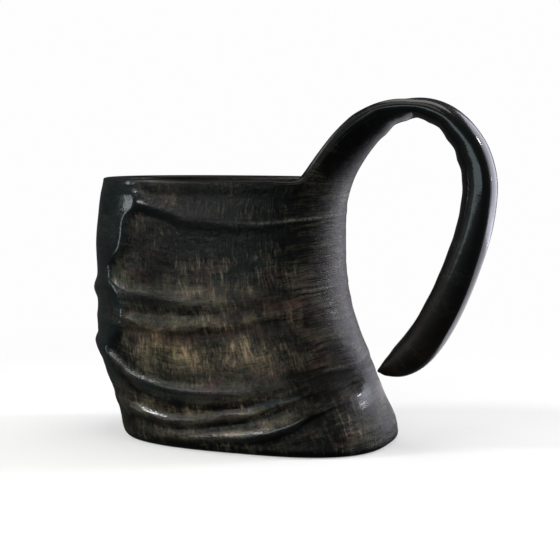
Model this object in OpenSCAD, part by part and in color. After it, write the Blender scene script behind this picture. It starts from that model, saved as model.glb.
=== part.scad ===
// Drinking cup cut from one buffalo horn.
// The wall and the handle are the same piece of horn: a strip is left standing on the
// side of the rim, steamed, and bent over until its free end hangs beside the wall.
// The wide end of the horn is closed from below by a glued base plug, and a bead of
// sealant fills the corner between the plug and the wall inside.
// Millimetres, +Z up. The origin is the middle of the face the cup stands on, and +X
// points at the handle.

/* [Body] */
// Height of the rim above the table
rim_height = 120; // [110:1:130]
// Length of the oval body along X, in percent of the standard cup
body_length = 100; // [94:1:106]
// Width of the oval body along Y, in percent of the standard cup
body_width = 100; // [94:1:106]
// Depth of the growth ridges, in percent
ridge_depth = 100; // [0:5:120]
// How far the smooth keel opposite the handle stands above the scraped sides
keel_height = 0.9; // [0:0.1:1.2]
// Rounding of the bottom edge
foot_radius = 3.5; // [2:0.5:4]

/* [Wall] */
// Wall thickness, in percent of the standard cup
wall = 100; // [90:5:115]
// Rise of the rounded top of the rim
edge_round = 2; // [1:0.25:2.5]

/* [Handle] */
// Half the width of the strip along the grip
grip_half_width = 9.4; // [8:0.2:12]
// Thickness of the strip, in percent of the standard cup
strip_thickness = 100; // [85:5:110]
// Crown in the middle of the two broad faces of the strip
strip_crown = 0.8; // [0:0.1:1.2]
// How far the face towards the loop falls away at its edges
loop_face_round = 2.4; // [1.6:0.2:3]
// How far the outer face falls away at its edges
outer_face_round = 1.4; // [0.6:0.2:2]
// How far the rounded cut edges stand out, in percent of the strip's thickness
edge_bulge = 24; // [18:1:28]

/* [Base] */
// Thickness of the base plug
plug_thickness = 7; // [5:0.5:8]
// Horn left outside the plug at the bottom edge
rebate_wall = 6; // [5.5:0.25:6.5]
// Height of the sealant bead up the wall
bead_height = 4; // [2:0.5:6]
// Width of the sealant bead across the plug
bead_width = 4; // [2:0.5:6]

/* [Hidden] */

// Plan outline by height: z, left end, handle end, half width, x of the widest place,
// and how square the oval is (2 is an ellipse)
OUTLINE = [
    [0,   -66.5, 61,   43.5, 6,     2.7],
    [10,  -69,   59.5, 44,   4,     2.6],
    [20,  -72.5, 55,   43.5, 2,     2.45],
    [30,  -78,   51,   43.5, 0,     2.3],
    [45,  -82.5, 45.2, 43,  -4,     2.2],
    [60,  -83,   40,   42,  -8,     2.15],
    [75,  -83,   37.2, 41, -12,     2.15],
    [90,  -83.5, 36.6, 40, -14,     2.15],
    [105, -82,   37,   39, -16,     2.15],
    [112, -81,   38.2, 38.5, -16.5, 2.15],
    [120, -79.5, 41,   38, -17,     2.15]
];

// Wall thickness by height: z, at the left end, at the handle end, at the sides
WALLS = [
    [5,   8.5, 8.5, 8.5],
    [20,  8,   7,   7],
    [50,  8,   6,   6],
    [90,  9.5, 5.5, 5.5],
    [120, 11,  6,   5]
];

// Growth ridges, lowest first. Twelve places round the body, every 30 degrees from
// the left end: height of the crest, then how far it stands out
RIDGES = [
    [[5, 4, 4, 7.5, 17.5, 24.5, 26.5, 24, 16, 8, 5, 4.5],
     [0.3, 0.4, 0.6, 1.7, 1.5, 0.5, 0.2, 0.4, 1.2, 1.6, 0.8, 0.4]],
    [[18, 17, 14, 16.5, 26, 33, 35, 32, 25, 17, 14, 16.5],
     [0.8, 1, 1.6, 1.3, 0.8, 0.4, 0.1, 0.3, 0.7, 1.2, 1.5, 1]],
    [[43.5, 41.5, 28.5, 26.5, 33, 39, 42, 40, 33, 27, 28.5, 40],
     [1.9, 2, 1.8, 1.1, 0.6, 0.4, 0.2, 0.3, 0.8, 1.3, 1.8, 1.9]],
    [[54.5, 55, 54, 56, 60.5, 63, 65.5, 63, 60, 55.5, 53.5, 55],
     [0.5, 0.8, 1, 0.6, 0.4, 0.3, 0.1, 0.3, 0.5, 0.8, 0.9, 0.7]],
    [[66.5, 70.5, 67.5, 66.5, 69, 71.5, 72.5, 72, 69.5, 67.5, 69.5, 69],
     [2.1, 1.9, 1.2, 0.7, 0.4, 0.3, 0.2, 0.3, 0.5, 0.9, 1.4, 1.9]],
    [[111, 110, 108.5, 102.5, 101.5, 103, 104, 103.5, 101.5, 104, 108.5, 110],
     [0.1, 0.2, 0.9, 0.6, 0.4, 0.3, 0.2, 0.3, 0.5, 0.7, 0.8, 0.3]]
];
// A ridge fades over this much height above its crest, and drops over this much below
ridge_above = 9;
ridge_below = 3.5;

// Handle strip: x and z of the middle line, thickness, half width as a share of the
// grip, and how much of the body's curve is left in the cross-section
STRIP = [
    [37.4, 118,   6,    2.76, 1],
    [39.2, 122,   6,    2.43, 0.92],
    [41.6, 126.5, 6.2,  2.20, 0.82],
    [44.6, 131.8, 6.5,  1.97, 0.70],
    [48.4, 137.0, 6.8,  1.76, 0.60],
    [53.0, 142.2, 7.2,  1.56, 0.49],
    [58.4, 147.0, 7.4,  1.36, 0.30],
    [64.2, 150.2, 7.6,  1.17, 0.12],
    [70.5, 151.4, 7.8,  1.04, 0],
    [77.6, 150.4, 8.4,  1.0,  0],
    [84.6, 146.8, 9.6,  1.0,  0],
    [91.2, 140.4, 11.0, 1.0,  0],
    [96.6, 131.2, 12.6, 1.0,  0],
    [99.4, 119.5, 13.4, 1.0,  0],
    [98.7, 107.3, 13.6, 1.0,  0],
    [96.3, 95.2,  13.8, 1.0,  0],
    [92.5, 83.2,  14.1, 1.0,  0],
    [88.2, 71.9,  14.5, 1.0,  0],
    [83.0, 61.1,  15.0, 1.0,  0],
    [77.2, 51.2,  15.0, 0.98, 0],
    [71.5, 43.1,  13.8, 0.94, 0],
    [65.8, 37.7,  10.4, 0.84, 0],
    [60.4, 35.4,  5.8,  0.68, 0],
    [57.4, 34.8,  2.6,  0.5,  0]
];

COLS = 60;                  // columns round the body, every 6 degrees
K = 14;                     // the strip takes columns 0 to K
sub = 2;                    // stations drawn for each row of STRIP
M = 5;                      // points across the rounded rim and cut edges
zs = rim_height / 120;
top = rim_height - edge_round;
seat_z = plug_thickness;    // the plug stops against a shoulder here

// Smooth curve through the rows of a table whose first column is the parameter
function seg(t, x, i = 0) = i >= len(t) - 2 || x < t[i + 1][0] ? i : seg(t, x, i + 1);
function rest(r) = [for (c = [1 : len(r) - 1]) r[c]];
function slope(t, i) =
    let (a = max(i - 1, 0), b = min(i + 1, len(t) - 1))
    (rest(t[b]) - rest(t[a])) / (t[b][0] - t[a][0]);
function along(t, x) =
    let (i = seg(t, x), h = t[i + 1][0] - t[i][0],
         u = min(max((x - t[i][0]) / h, 0), 1), v = u * u, w = v * u)
    (2 * w - 3 * v + 1) * rest(t[i]) + (w - 2 * v + u) * h * slope(t, i)
    + (3 * v - 2 * w) * rest(t[i + 1]) + (w - v) * h * slope(t, i + 1);

// Smooth closed curve through twelve values, every 30 degrees from the left end
function ring(l, th) =
    let (q = (th + 540) % 360 / 30, i = floor(q), u = q - i,
         a = l[(i + 11) % 12], b = l[i % 12], c = l[(i + 1) % 12], d = l[(i + 2) % 12])
    b + u * (c - a) / 2 + u * u * (a - 2.5 * b + 2 * c - d / 2)
    + u * u * u * (1.5 * (b - c) + (d - a) / 2);

function sgnpow(v, e) = sign(v) * pow(abs(v), e);
// Point on an oval: o is left end, right end, half width, x of the widest place, squareness
function oval(o, th, z, out = 0) =
    let (c = cos(th), s = sin(th), a = c > 0 ? o[1] - o[3] : o[3] - o[0],
         x = o[3] + a * sgnpow(c, 2 / o[4]), y = o[2] * sgnpow(s, 2 / o[4]),
         nx = c / a, ny = s / o[2], n = norm([nx, ny]))
    [x + out * nx / n, y + out * ny / n, z];

function outline(z) =
    let (o = along(OUTLINE, z / zs), l = body_length / 100, w = body_width / 100)
    [o[0] * l, o[1] * l, o[2] * w, o[3] * l, o[4]];
function lining(z) =
    let (o = outline(z), t = along(WALLS, z / zs) * wall / 100)
    [o[0] + t[0], o[1] - t[1], o[2] - t[2], o[3], o[4]];
function seat() =
    let (o = outline(4), r = rebate_wall)
    [o[0] + r, o[1] - r, o[2] - r, o[3], o[4]];

function rise(dz) =
    dz >= 0 ? pow(max(1 - dz / ridge_above, 0), 2)
            : let (u = max(1 + dz / ridge_below, 0)) u * u * (3 - 2 * u);
function ease(a, b, x) = let (u = min(max((x - a) / (b - a), 0), 1)) u * u * (3 - 2 * u);
// The keel is highest where it meets the scraped sides, and dies out near the foot
function keel(th, z) =
    let (t = abs((th + 540) % 360 - 180))
    keel_height * ease(124, 136, t) * (1 - 0.7 * ease(146, 164, t)) * (0.25 + 0.75 * ease(8, 28, z));
function ridge(th, z) =
    let (f = min(1, max(0, (z - foot_radius) / 3)) * min(1, (118 - min(z, 118)) / 6),
         h = ridge_depth / 100 * max([for (r = RIDGES) ring(r[1], th) * rise(z - ring(r[0], th))]))
    f * max(h, 0.45 * h + keel(th, z));
function foot(z) =
    z < foot_radius ? foot_radius - sqrt(pow(foot_radius, 2) - pow(foot_radius - z, 2)) : 0;

function angle(j) = 6 * j - 42;
function outer(j, z) = oval(outline(z), angle(j), z, ridge(angle(j), z / zs) - foot(z));
function inner(j, z) = oval(lining(z), angle(j), z);

// Heights of the rows of points
ROWS = concat([for (f = [0, 0.1, 0.3, 0.6]) f * foot_radius],
              [for (i = [0 : 34]) foot_radius + (top - foot_radius) * i / 34]);
ROWS_IN = concat([for (i = [0 : 10]) top - (top - 24) * i / 10],
                 [17, seat_z + bead_height, seat_z]);
NR = len(ROWS);
NI = len(ROWS_IN);

// The bent strip
STRIP_I = [for (i = [0 : len(STRIP) - 1]) concat([i], STRIP[i])];
NS = (len(STRIP) - 1) * sub;
function station(s) =
    let (p = along(STRIP_I, s / sub), a = along(STRIP_I, max(s / sub - 0.25, 0)),
         b = along(STRIP_I, min(s / sub + 0.25, len(STRIP) - 1)),
         t = [b[0] - a[0], b[1] - a[1]], n = [t[1], -t[0]] / norm(t),
         f = ease(0, 4, s / sub), v = [1 - f, 0] + f * n)
    concat(p, v / norm(v));
// The strip leaves the rim rounded like the rim; its own edges take over higher up
function own_edge(s) = ease(0, 6, s / sub);
function bulge(s) =
    max(0.9, edge_round * (1 - own_edge(s))
        + own_edge(s) * edge_bulge / 100 * along(STRIP_I, s / sub)[2] * strip_thickness / 100);
edge_out = outer(K, top);
edge_in = inner(K, top);
share = edge_in[1] / edge_out[1];
function strip_pt(s, j, side) =
    let (q = station(s), o = side > 0 ? outer(j, top) : inner(j, top),
         e = side > 0 ? edge_out : edge_in, m = side > 0 ? outer(K / 2, top) : inner(K / 2, top),
         v = o[1] / e[1], sag = (m[0] - o[0]) * q[4],
         w0 = grip_half_width * q[3] - bulge(s),
         w = side > 0 ? w0 : w0 * (1 - (1 - share) * q[4]),
         t = q[2] * strip_thickness / 200,
         fall = side > 0 ? loop_face_round - 1.5 * ease(12, 17, s / sub) : outer_face_round,
         off = side * (t + (strip_crown - fall * v * v) * (1 - q[4]) * min(1, t / 4)) - sag)
    [q[0] * body_length / 100 + q[5] * off, w * v, q[1] + (rim_height - 120) + q[6] * off];

BODY_OUT = [for (z = ROWS) for (j = [0 : COLS - 1]) outer(j, z)];
BODY_IN = [for (z = ROWS_IN) for (j = [0 : COLS - 1]) inner(j, z)];
STRIP_OUT = [for (s = [1 : NS]) for (j = [0 : K]) strip_pt(s, j, 1)];
STRIP_IN = [for (s = [1 : NS]) for (j = [0 : K]) strip_pt(s, j, -1)];
SEAT = [for (j = [0 : COLS - 1]) oval(seat(), angle(j), 0)];

// Numbering of the points
n_bi = len(BODY_OUT);
n_so = n_bi + len(BODY_IN);
n_si = n_so + len(STRIP_OUT);
n_r = n_si + len(STRIP_IN);
n_c = n_r + 2 * COLS;
function bo(i, j) = i * COLS + (j % COLS);
function bi(i, j) = n_bi + i * COLS + (j % COLS);
function so(s, j) = s == 0 ? bo(NR - 1, j) : n_so + (s - 1) * (K + 1) + j;
function si(s, j) = s == 0 ? bi(0, j) : n_si + (s - 1) * (K + 1) + j;
function sr(i, j) = n_r + i * COLS + (j % COLS);

// The edge that runs along the rim, up one side of the strip, round its end and back:
// the two corners, the next point in from the first, and the station
LOOP = concat(
    [for (j = [K : COLS]) [bo(NR - 1, j), bi(0, j), bo(NR - 2, j), 0]],
    [for (s = [1 : NS]) [so(s, 0), si(s, 0), so(s, 1), s]],
    [for (j = [1 : K]) [so(NS, j), si(NS, j), so(NS - 1, j), NS]],
    [for (s = [NS - 1 : -1 : 1]) [so(s, K), si(s, K), so(s, K - 1), s]]);
P = len(LOOP);
function cp(p, m) =
    m < 0 ? LOOP[p % P][0] : m >= M ? LOOP[p % P][1] : n_c + (p % P) * M + m;

SHELL = concat(BODY_OUT, BODY_IN, STRIP_OUT, STRIP_IN,
               [for (z = [0, seat_z]) for (p = SEAT) [p[0], p[1], z]]);
function mid(p) = (SHELL[LOOP[p % P][0]] + SHELL[LOOP[p % P][1]]) / 2;
// The rim is evenly rounded. The edge of the strip runs on smoothly from the loop face
// and keeps a crisp corner at the outer face
CAP = [for (p = [0 : P - 1])
    let (a = SHELL[LOOP[p][0]], b = SHELL[LOOP[p][1]], m = (a + b) / 2, s = LOOP[p][3],
         d = mid(p + 1) - mid(p + P - 1), n = cross(a - b, d), u = n / norm(n),
         h = bulge(s), r = h / 0.62, k = own_edge(s), e = a - SHELL[LOOP[p][2]],
         a1 = a + e / norm(e) * r, b1 = b + (0.85 * u + 0.53 * (a - b) / norm(a - b)) * r)
    for (i = [1 : M])
        let (f = 180 * i / (M + 1), w = i / (M + 1), v = 1 - w)
        (1 - k) * (m + (a - b) / 2 * sgnpow(cos(f), 0.6) + u * h * sgnpow(sin(f), 0.6))
        + k * (v * v * v * a + 3 * w * v * v * a1 + 3 * w * w * v * b1 + w * w * w * b)];

function quad(a, b, c, d) = [[a, b, c], [a, c, d]];
function joined(l) = [for (q = l) for (t = q) t];

module horn_body() {
    color("#2b2a26")
    polyhedron(
        points = concat(SHELL, CAP),
        faces = joined(concat(
            [for (i = [0 : NR - 2]) for (j = [0 : COLS - 1])
                quad(bo(i, j), bo(i + 1, j), bo(i + 1, j + 1), bo(i, j + 1))],
            [for (s = [0 : NS - 1]) for (j = [0 : K - 1])
                quad(so(s, j), so(s + 1, j), so(s + 1, j + 1), so(s, j + 1))],
            [for (i = [0 : NI - 2]) for (j = [0 : COLS - 1])
                quad(bi(i, j + 1), bi(i, j), bi(i + 1, j), bi(i + 1, j + 1))],
            [for (s = [0 : NS - 1]) for (j = [0 : K - 1])
                quad(si(s, j + 1), si(s + 1, j + 1), si(s + 1, j), si(s, j))],
            [for (p = [0 : P - 1]) for (m = [-1 : M - 1])
                quad(cp(p, m), cp(p, m + 1), cp(p + 1, m + 1), cp(p + 1, m))],
            [for (j = [0 : COLS - 1])
                quad(bo(0, j), bo(0, j + 1), sr(0, j + 1), sr(0, j))],
            [for (j = [0 : COLS - 1])
                quad(sr(0, j + 1), sr(1, j + 1), sr(1, j), sr(0, j))],
            [for (j = [0 : COLS - 1])
                quad(sr(1, j), sr(1, j + 1), bi(NI - 1, j + 1), bi(NI - 1, j))]
        )), convexity = 10);
}

// The plug fills the rebate and its lower face is level with the foot
module base_plug() {
    color("#231f1b")
    linear_extrude(height = seat_z)
        polygon([for (p = SEAT) [p[0], p[1]]]);
}

// The bead lies on the plug and against the inside of the wall
module seal_bead() {
    hi = seat_z + bead_height;
    function inset(j, d) =
        let (o = lining(seat_z)) oval([o[0] + d, o[1] - d, o[2] - d, o[3], o[4]], angle(j), seat_z);
    pts = [for (j = [0 : COLS - 1])
        let (w = inner(j, seat_z), h = inner(j, hi), e = inset(j, bead_width),
             c = (w + h + e) / 3)
        for (q = [w, h, [c[0], c[1], seat_z + 0.28 * bead_height], e]) q];
    function at(j, k) = (j % COLS) * 4 + k % 4;
    color("#0d0c0b")
    polyhedron(
        points = pts,
        faces = joined([for (j = [0 : COLS - 1]) for (k = [0 : 3])
            quad(at(j, k), at(j, k + 1), at(j + 1, k + 1), at(j + 1, k))]),
        convexity = 6);
}

horn_body();
base_plug();
seal_bead();
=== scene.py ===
"""Looks of the horn tankard. The shapes repeat the CAD part's own rules at a finer pitch,
with the pockets, folds and cut edges of the horn added. Row frame, metres."""

import math

import bpy
import numpy as np
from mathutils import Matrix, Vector


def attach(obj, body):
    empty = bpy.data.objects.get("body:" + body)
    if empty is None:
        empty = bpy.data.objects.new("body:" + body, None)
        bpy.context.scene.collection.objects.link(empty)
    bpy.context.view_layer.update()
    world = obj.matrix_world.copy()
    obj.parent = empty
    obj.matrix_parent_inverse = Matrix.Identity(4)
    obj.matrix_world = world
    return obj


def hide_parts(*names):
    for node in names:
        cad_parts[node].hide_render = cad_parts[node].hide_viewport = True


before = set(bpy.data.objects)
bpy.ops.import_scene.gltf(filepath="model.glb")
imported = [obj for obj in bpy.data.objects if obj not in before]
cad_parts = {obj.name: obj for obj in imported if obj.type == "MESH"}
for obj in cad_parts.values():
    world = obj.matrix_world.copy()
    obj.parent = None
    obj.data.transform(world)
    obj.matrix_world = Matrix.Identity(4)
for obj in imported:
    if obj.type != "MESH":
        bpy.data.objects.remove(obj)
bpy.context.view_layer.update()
MM = 0.001

# ------------------------------------------------------------------ the form, in mm
OUTLINE = np.array([
    [0,   -66.5, 61,   43.5, 6,     2.7],
    [10,  -69,   59.5, 44,   4,     2.6],
    [20,  -72.5, 55,   43.5, 2,     2.45],
    [30,  -78,   51,   43.5, 0,     2.3],
    [45,  -82.5, 45.2, 43,  -4,     2.2],
    [60,  -83,   40,   42,  -8,     2.15],
    [75,  -83,   37.2, 41, -12,     2.15],
    [90,  -83.5, 36.6, 40, -14,     2.15],
    [105, -82,   37,   39, -16,     2.15],
    [112, -81,   38.2, 38.5, -16.5, 2.15],
    [120, -79.5, 41,   38, -17,     2.15],
])
WALLS = np.array([
    [5,   8.5, 8.5, 8.5],
    [20,  8,   7,   7],
    [50,  8,   6,   6],
    [90,  9.5, 5.5, 5.5],
    [120, 11,  6,   5],
])
STRIP = np.array([
    [37.4, 118,   6,    2.76, 1],
    [39.2, 122,   6,    2.43, 0.92],
    [41.6, 126.5, 6.2,  2.20, 0.82],
    [44.6, 131.8, 6.5,  1.97, 0.70],
    [48.4, 137.0, 6.8,  1.76, 0.60],
    [53.0, 142.2, 7.2,  1.56, 0.49],
    [58.4, 147.0, 7.4,  1.36, 0.30],
    [64.2, 150.2, 7.6,  1.17, 0.12],
    [70.5, 151.4, 7.8,  1.04, 0],
    [77.6, 150.4, 8.4,  1.0,  0],
    [84.6, 146.8, 9.6,  1.0,  0],
    [91.2, 140.4, 11.0, 1.0,  0],
    [96.6, 131.2, 12.6, 1.0,  0],
    [99.4, 119.5, 13.4, 1.0,  0],
    [98.7, 107.3, 13.6, 1.0,  0],
    [96.3, 95.2,  13.8, 1.0,  0],
    [92.5, 83.2,  14.1, 1.0,  0],
    [88.2, 71.9,  14.5, 1.0,  0],
    [83.0, 61.1,  15.0, 1.0,  0],
    [77.2, 51.2,  15.0, 0.98, 0],
    [71.1, 43.5,  14.6, 0.97, 0],
    [65.0, 38.4,  11.9, 0.93, 0],
    [59.6, 35.8,  6.8,  0.86, 0],
    [56.5, 34.8,  1.9,  0.78, 0],
])
GRIP = 9.4           # half width of the strip along the grip
CROWN = 0.8
ROUND_OUT = 0.8      # the same for the outer face
ROUND_IN = 2.4       # how far the loop side falls away towards its edges
FOOT = 3.5
SEAT_Z = 7.0
REBATE = 6.0
TOP = 118.4          # the outer surface ends here and the rounded rim begins

# Ridges: angle from the handle end (front is -90), height of the crest, how far it
# stands out, how far it reaches above the crest, and below
R = {
    "r1": [[-180, 111, 0.1, 8, 6], [-150, 110, 0.2, 8, 6], [-130, 108.5, 0.6, 7, 5], [-118, 108.5, 0.95, 5, 5],
           [-112, 108, 0.8, 6, 5], [-104, 105.8, 0.6, 8, 5.5], [-92, 102.8, 0.55, 9, 7], [-63, 101.3, 0.40, 11, 5.5],
           [-36, 102.6, 0.35, 8, 1.6], [-7, 103.8, 0.22, 5, 1.1], [20, 104, 0.2, 5, 1.2], [55, 101.5, 0.45, 10, 3],
           [85, 103.5, 0.7, 9, 5], [112, 108, 0.9, 6, 5], [130, 109, 0.6, 7, 5], [155, 110, 0.2, 8, 6]],
    "r2": [[-180, 66.5, 2.1, 8, 8], [-158, 69, 2.0, 7, 7], [-145, 71.5, 1.7, 5, 8], [-135, 71, 1.5, 4.5, 9],
           [-126, 68, 1.35, 4.5, 9], [-117, 67, 1.15, 5.5, 8], [-102, 65.6, 0.85, 8, 7], [-79, 67.4, 0.5, 11, 6],
           [-45, 70.6, 0.35, 9, 2.4], [-12, 72.4, 0.2, 6, 1.3], [20, 72.5, 0.18, 6, 1.5], [50, 70, 0.4, 9, 4],
           [85, 67.5, 0.8, 10, 6], [115, 69, 1.3, 6, 8], [135, 71, 1.6, 5, 8], [155, 68.5, 1.9, 7, 7]],
    "r3": [[-180, 54.5, 0.5, 6, 5], [-155, 55, 0.7, 6, 5], [-130, 54.6, 0.95, 6, 3.5], [-118, 53.8, 0.95, 7, 2.4],
           [-107, 53.4, 0.8, 8, 3.0], [-90, 56.2, 0.6, 8, 3.2], [-74, 58.9, 0.5, 7, 3.2], [-61, 60.4, 0.4, 7, 3.0],
           [-37, 62.6, 0.35, 6, 1.8], [0, 65.5, 0.12, 5, 2], [45, 62, 0.3, 6, 2], [85, 56, 0.8, 8, 2.2],
           [110, 53, 0.95, 7, 2.4], [135, 55, 0.8, 6, 4]],
    "r4": [[-180, 43.5, 1.9, 6, 12], [-158, 42.5, 2.0, 5, 12], [-145, 40.5, 1.9, 4, 12], [-138, 36.8, 1.8, 3.0, 13],
           [-132, 32.8, 1.6, 3.2, 13], [-126, 30.0, 1.45, 3.4, 13], [-118, 27.8, 1.25, 4.0, 13], [-105, 25.6, 1.0, 5.2, 12],
           [-90, 26.4, 1.05, 6, 9], [-75, 29.4, 0.8, 7, 7], [-60, 33, 0.65, 8, 5], [-34, 37.4, 0.6, 8, 4.0],
           [-12, 38.2, 0.85, 7, 4.5], [12, 40.5, 0.5, 7, 4.5], [40, 38, 0.45, 8, 4], [68, 31, 0.9, 7, 7],
           [95, 26.5, 1.4, 5, 11], [120, 28.5, 1.8, 3.6, 13], [140, 37, 1.9, 3.6, 13], [160, 42, 1.9, 5, 12]],
    "r5": [[-180, 18, 0.8, 8, 6], [-150, 17, 1.0, 7, 5], [-132, 15.5, 1.3, 4, 4.5], [-124, 14.6, 1.5, 3.2, 4],
           [-112, 12.2, 1.15, 4.2, 3.2], [-100, 13.0, 0.95, 6, 2.6], [-88, 17.2, 1.1, 6, 2.4], [-77, 21.2, 0.9, 7, 2.4],
           [-57, 26.8, 0.8, 7, 2.6], [-40, 31, 0.45, 7, 3], [0, 35, 0.12, 7, 4], [40, 30, 0.4, 7, 3.4],
           [75, 21, 0.9, 7, 3], [100, 14, 1.4, 5, 3], [122, 14.4, 1.5, 4, 4], [150, 16.5, 1.0, 7, 5]],
    "r6": [[-180, 5, 0.3, 6, 3], [-130, 4, 0.4, 6, 3], [-116, 3.6, 0.8, 6, 2.8], [-104, 4.6, 1.3, 6, 2.8],
           [-90, 7.8, 1.6, 6.5, 2.9], [-78, 11.4, 1.65, 7, 2.9], [-67, 15.1, 1.6, 7, 2.6], [-57, 18.6, 1.4, 7, 2.2],
           [-44, 22.0, 0.9, 7, 2.2], [-30, 24.6, 0.45, 7, 3], [-12, 26.5, 0.15, 6, 3], [20, 26, 0.15, 6, 3],
           [50, 19.5, 0.8, 7, 2.6], [70, 13, 1.5, 7, 1.9], [90, 8, 1.6, 6.5, 1.9], [112, 5, 0.9, 6, 2.6],
           [150, 4.5, 0.4, 6, 3]],
}
# Where the smooth keel ends and the hollows begin, on the side seen and on the back
KEEL = np.array([
    [0, -134], [12, -133], [20, -132], [27, -134], [34, -140], [41, -142], [46, -138], [52, -130], [58, -127],
    [64, -128], [69, -131], [73, -135.5], [80, -136.5], [84, -132], [88, -127], [94, -125], [100, -124.5],
    [104, -122], [107, -117], [111, -115.5], [115, -118.5], [120, -122],
])


def along(tab, x):
    """Smooth curve through a table's rows; the first column is the parameter."""
    tab = np.asarray(tab, float)
    t, y = tab[:, 0], tab[:, 1:]
    x = np.asarray(x, float)
    flat = x.ravel()
    n = len(t)
    i = np.clip(np.searchsorted(t, flat, side="right") - 1, 0, n - 2)
    m = np.empty_like(y)
    m[1:-1] = (y[2:] - y[:-2]) / (t[2:] - t[:-2])[:, None]
    m[0] = (y[1] - y[0]) / (t[1] - t[0])
    m[-1] = (y[-1] - y[-2]) / (t[-1] - t[-2])
    h = (t[i + 1] - t[i])[:, None]
    u = np.clip((flat - t[i])[:, None] / h, 0, 1)
    v, w = u * u, u * u * u
    out = (2 * w - 3 * v + 1) * y[i] + (w - 2 * v + u) * h * m[i] + (3 * v - 2 * w) * y[i + 1] + (w - v) * h * m[i + 1]
    return out.reshape(x.shape + (y.shape[1],))


def around(rows, th):
    """The same for a table that closes on itself every 360 degrees."""
    rows = np.asarray(rows, float)
    a, b = rows[-2:].copy(), rows[:3].copy()
    a[:, 0] -= 360
    b[:, 0] += 360
    return along(np.vstack([a, rows, b]), (np.asarray(th, float) + 180) % 360 - 180)


def sgnpow(v, e):
    return np.sign(v) * np.abs(v) ** e


def smooth(a, b, x):
    u = np.clip((x - a) / (b - a), 0, 1)
    return u * u * (3 - 2 * u)


def waves(th, z, seed, scale=1.0):
    """A gentle, closed, repeatable wander over angle and height, about -1 to 1."""
    rng = np.random.default_rng(seed)
    out = np.zeros(np.broadcast(th, z).shape)
    total = 0.0
    for _ in range(14):
        k = int(rng.integers(1, max(2, int(14 * scale))))
        f = rng.uniform(0.02, 0.12) * scale
        p, q = rng.uniform(0, 2 * math.pi, 2)
        a = 1.0 / (1 + 0.12 * k)
        out += a * np.sin(np.radians(th) * k + p + f * z * rng.choice([-1, 1])) * np.cos(f * z * 1.7 + q)
        total += a * 0.5
    return out / total


def oval(o, th, z, out=0.0):
    c, s = np.cos(np.radians(th)), np.sin(np.radians(th))
    a = np.where(c > 0, o[..., 1] - o[..., 3], o[..., 3] - o[..., 0])
    n = o[..., 4]
    x = o[..., 3] + a * sgnpow(c, 2 / n)
    y = o[..., 2] * sgnpow(s, 2 / n)
    nx, ny = c / a, s / o[..., 2]
    m = np.hypot(nx, ny)
    return np.stack([x + out * nx / m, y + out * ny / m, z + 0 * x], -1)


def outline(z):
    return along(OUTLINE, z)


def lining(z):
    o, t = along(OUTLINE, z), along(WALLS, z)
    return np.stack([o[..., 0] + t[..., 0], o[..., 1] - t[..., 1], o[..., 2] - t[..., 2], o[..., 3], o[..., 4]], -1)


def keel_edge(th, z):
    """Signed angle past the keel's edge, in degrees: above 0 is in the field of hollows."""
    e = along(KEEL, z)[..., 0]
    t = (th + 180) % 360 - 180
    front = t - e - 0.6 * waves(t, z, 3)
    back = -t - e - 3 - 1.2 * waves(t, z, 4)
    return np.minimum(np.where(t < 0, front, 400), np.where(t >= 0, back, 400))


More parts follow.
